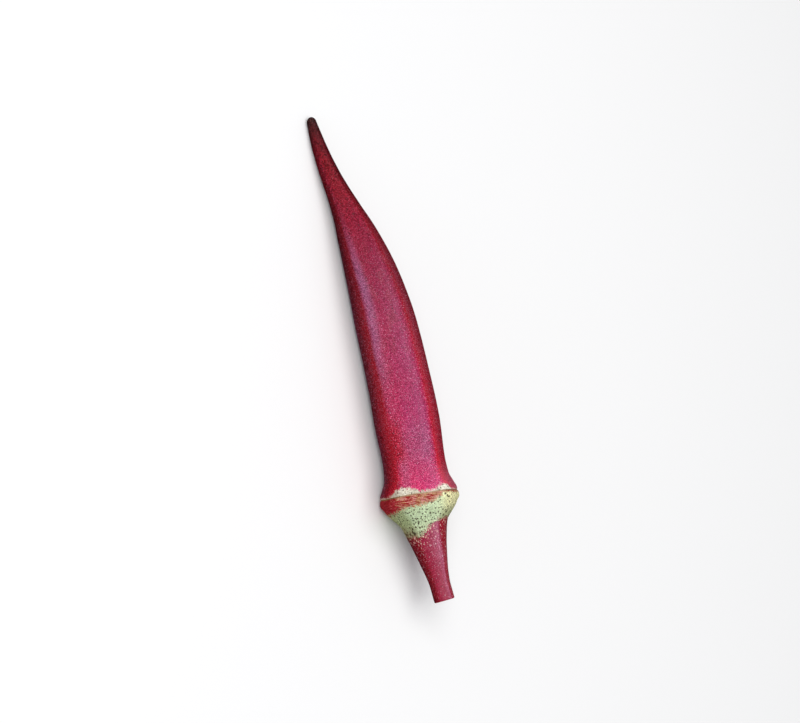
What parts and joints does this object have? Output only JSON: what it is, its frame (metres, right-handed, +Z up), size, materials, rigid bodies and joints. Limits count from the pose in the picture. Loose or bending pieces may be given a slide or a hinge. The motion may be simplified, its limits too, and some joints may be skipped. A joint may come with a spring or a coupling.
{
  "type": "okra pod",
  "caption": "Long slim red okra pod with flat faces between its ribs, a curved tapering beak, a pale cap and a cut stalk, lying on three low points.",
  "frame": {"origin": "middle of the bounding box's underside, on the surface that the pod lies on", "axes": "+Z up, X along the pod's length with the beak towards -X and the cut stalk towards +X"},
  "size_m": [0.1752, 0.0284, 0.0268],
  "materials": {
    "skin": "satin"
  },
  "bodies": {
    "root": {"okra_pod": "skin"}
  },
  "joints": []
}
